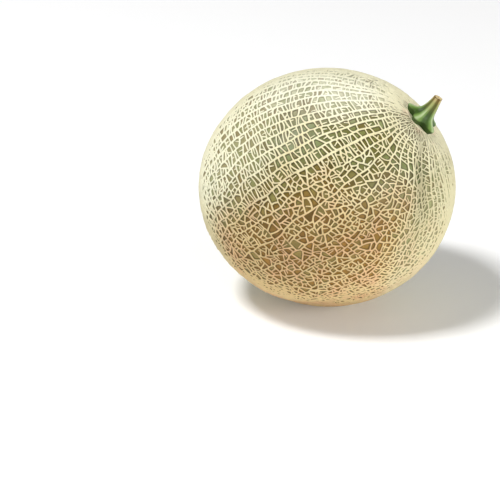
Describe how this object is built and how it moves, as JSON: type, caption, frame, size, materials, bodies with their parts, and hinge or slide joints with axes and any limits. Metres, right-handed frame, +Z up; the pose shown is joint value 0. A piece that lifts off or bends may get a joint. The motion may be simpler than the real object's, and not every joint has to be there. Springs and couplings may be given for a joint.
{
  "type": "cantaloupe melon",
  "caption": "Whole netted melon lying on a small flat ground spot, with a star-footed stub of stem on its raised end.",
  "frame": {"origin": "middle of the ground spot, the small flat face that the melon rests on, under the middle of the fruit", "axes": "+Z up from the ground spot; the stem end leans towards +X and its axis rises 42.8 degrees; the melon is the same on its +Y and -Y sides"},
  "size_m": [0.157, 0.1574, 0.143],
  "materials": {
    "rind": "matte",
    "stem": "satin"
  },
  "bodies": {
    "root": {"melon": "rind", "stem": "stem"}
  },
  "joints": []
}
